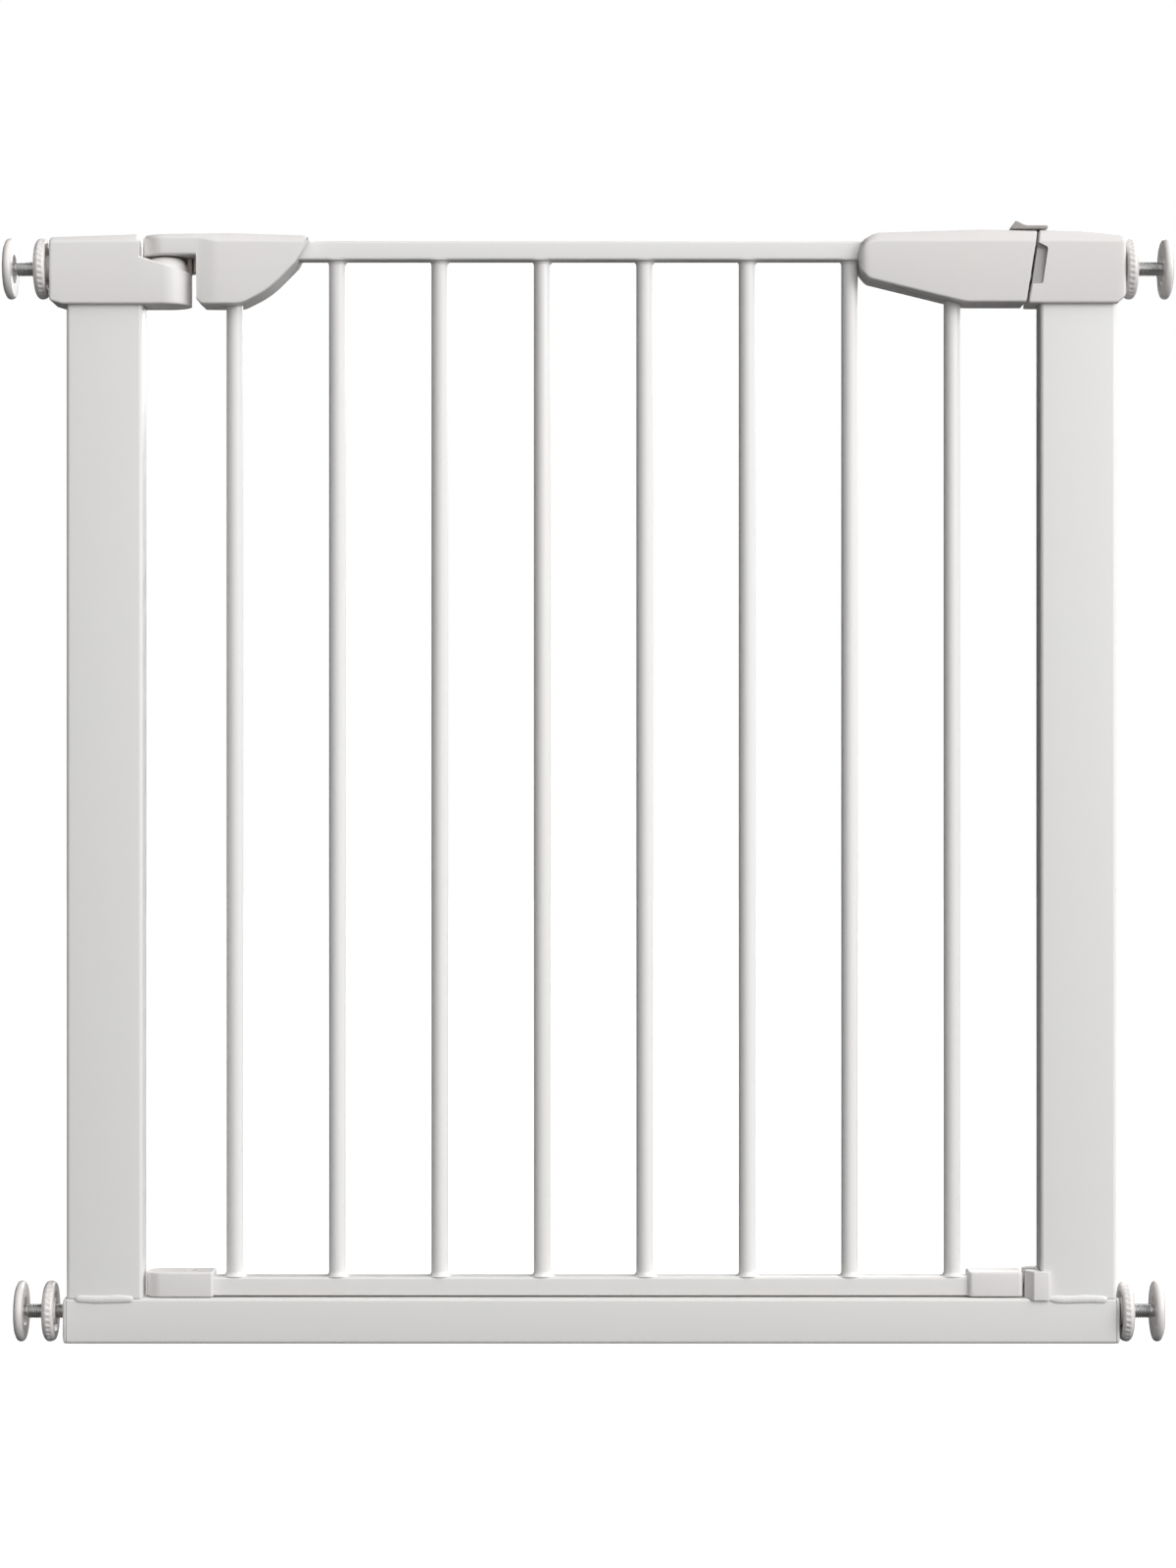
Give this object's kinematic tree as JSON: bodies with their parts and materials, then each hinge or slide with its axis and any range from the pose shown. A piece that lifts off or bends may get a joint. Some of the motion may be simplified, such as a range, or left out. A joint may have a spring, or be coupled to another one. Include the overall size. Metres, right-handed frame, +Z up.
{
  "type": "pressure-fit safety gate",
  "caption": "Pressure-fit steel safety gate with threaded wall spindles and a barred door that lifts and swings on the left post.",
  "frame": {"origin": "middle of the footprint of the closed gate, at floor level", "axes": "+X along the gate from the hinge post to the latch post, -Y towards the front, +Z up"},
  "size_m": [0.7706, 0.04, 0.7401],
  "materials": {
    "powder_coated_steel": "satin powder coat with a faint orange peel",
    "white_plastic": "fine spark-eroded satin moulding",
    "warm_grey_plastic": "fine satin moulding",
    "strike_grey_plastic": "fine satin moulding",
    "bush_plastic": "plain moulding, hidden",
    "zinc_plated_steel": "bright zinc plate",
    "pin_steel": "turned steel",
    "pad_rubber": "matt soft rubber"
  },
  "bodies": {
    "frame": {"left_post": "powder_coated_steel", "right_post": "powder_coated_steel", "bottom_bar": "powder_coated_steel", "hinge_casing_front": "white_plastic", "hinge_casing_rear": "white_plastic", "latch_casing_front": "white_plastic", "latch_casing_rear": "white_plastic", "left_end_cap": "white_plastic", "right_end_cap": "white_plastic", "bottom_catch": "white_plastic", "strike_insert": "strike_grey_plastic", "upper_hinge_bush": "bush_plastic", "lower_hinge_bush": "bush_plastic", "hinge_casing_screw_1": "zinc_plated_steel", "hinge_casing_screw_2": "zinc_plated_steel", "latch_casing_screw_1": "zinc_plated_steel", "latch_casing_screw_2": "zinc_plated_steel"},
    "hinge_pins": {"upper_hinge_pin": "pin_steel", "lower_hinge_pin": "pin_steel"},
    "door": {"top_rail": "powder_coated_steel", "bottom_rail": "powder_coated_steel", "door_bar_1": "powder_coated_steel", "door_bar_2": "powder_coated_steel", "door_bar_3": "powder_coated_steel", "door_bar_4": "powder_coated_steel", "door_bar_5": "powder_coated_steel", "door_bar_6": "powder_coated_steel", "door_bar_7": "powder_coated_steel", "door_bar_8": "powder_coated_steel", "upper_hinge_strap": "pin_steel", "door_hinge_casing_front": "white_plastic", "door_hinge_casing_rear": "white_plastic", "handle_casing_front": "white_plastic", "handle_casing_rear": "white_plastic", "hinge_shoe": "white_plastic", "latch_shoe": "white_plastic", "hinge_shoe_screw": "zinc_plated_steel", "door_hinge_casing_screw_1": "zinc_plated_steel", "door_hinge_casing_screw_2": "zinc_plated_steel", "handle_casing_screw_1": "zinc_plated_steel", "handle_casing_screw_2": "zinc_plated_steel"},
    "latch": {"thumb_slider": "warm_grey_plastic", "lock_bolt": "zinc_plated_steel", "latch_spring": "zinc_plated_steel"},
    "top_left_spindle": {"top_left_spindle": "zinc_plated_steel", "top_left_wall_pad": "white_plastic", "top_left_pad_face": "pad_rubber"},
    "top_left_wheel": {"top_left_hand_wheel": "white_plastic"},
    "top_right_spindle": {"top_right_spindle": "zinc_plated_steel", "top_right_wall_pad": "white_plastic", "top_right_pad_face": "pad_rubber"},
    "top_right_wheel": {"top_right_hand_wheel": "white_plastic"},
    "bottom_left_spindle": {"bottom_left_spindle": "zinc_plated_steel", "bottom_left_wall_pad": "white_plastic", "bottom_left_pad_face": "pad_rubber"},
    "bottom_left_wheel": {"bottom_left_hand_wheel": "white_plastic"},
    "bottom_right_spindle": {"bottom_right_spindle": "zinc_plated_steel", "bottom_right_wall_pad": "white_plastic", "bottom_right_pad_face": "pad_rubber"},
    "bottom_right_wheel": {"bottom_right_hand_wheel": "white_plastic"}
  },
  "joints": [
    {"name": "door_lift", "type": "slide", "parent": "frame", "child": "hinge_pins", "axis": [0, 0, 1], "range_m": [0, 0.012]},
    {"name": "door_swing", "type": "hinge", "parent": "hinge_pins", "child": "door", "pos_m": [-0.279, 0, 0.365], "axis": [0, 0, 1], "range_deg": [-90, 90]},
    {"name": "thumb_slide", "type": "slide", "parent": "door", "child": "latch", "axis": [-1, 0, 0], "range_m": [0, 0.008], "stiffness_N_per_m": 350, "springref_m": -0.008, "deforming": ["latch_spring"]},
    {"name": "top_left_wheel_turn", "type": "hinge", "parent": "frame", "child": "top_left_wheel", "pos_m": [-0.36, 0, 0.7095], "axis": [1, 0, 0], "range_deg": [-2540, 3260]},
    {"name": "top_left_spindle_feed", "type": "slide", "parent": "frame", "child": "top_left_spindle", "axis": [-1, 0, 0], "range_m": [-0.0105, 0.0135]},
    {"name": "top_right_wheel_turn", "type": "hinge", "parent": "frame", "child": "top_right_wheel", "pos_m": [0.358, 0, 0.7095], "axis": [-1, 0, 0], "range_deg": [-2540, 3260]},
    {"name": "top_right_spindle_feed", "type": "slide", "parent": "frame", "child": "top_right_spindle", "axis": [1, 0, 0], "range_m": [-0.0105, 0.0135]},
    {"name": "bottom_left_wheel_turn", "type": "hinge", "parent": "frame", "child": "bottom_left_wheel", "pos_m": [-0.36, 0, 0.02], "axis": [1, 0, 0], "range_deg": [-2540, 3260]},
    {"name": "bottom_left_spindle_feed", "type": "slide", "parent": "frame", "child": "bottom_left_spindle", "axis": [-1, 0, 0], "range_m": [-0.0105, 0.0135]},
    {"name": "bottom_right_wheel_turn", "type": "hinge", "parent": "frame", "child": "bottom_right_wheel", "pos_m": [0.358, 0, 0.02], "axis": [-1, 0, 0], "range_deg": [-2540, 3260]},
    {"name": "bottom_right_spindle_feed", "type": "slide", "parent": "frame", "child": "bottom_right_spindle", "axis": [1, 0, 0], "range_m": [-0.0105, 0.0135]}
  ],
  "couplings": [
    {"joint": "top_left_wheel_turn", "follows": "top_left_spindle_feed", "rad_per_m": 4188.8},
    {"joint": "top_right_wheel_turn", "follows": "top_right_spindle_feed", "rad_per_m": 4188.8},
    {"joint": "bottom_left_wheel_turn", "follows": "bottom_left_spindle_feed", "rad_per_m": 4188.8},
    {"joint": "bottom_right_wheel_turn", "follows": "bottom_right_spindle_feed", "rad_per_m": 4188.8}
  ]
}
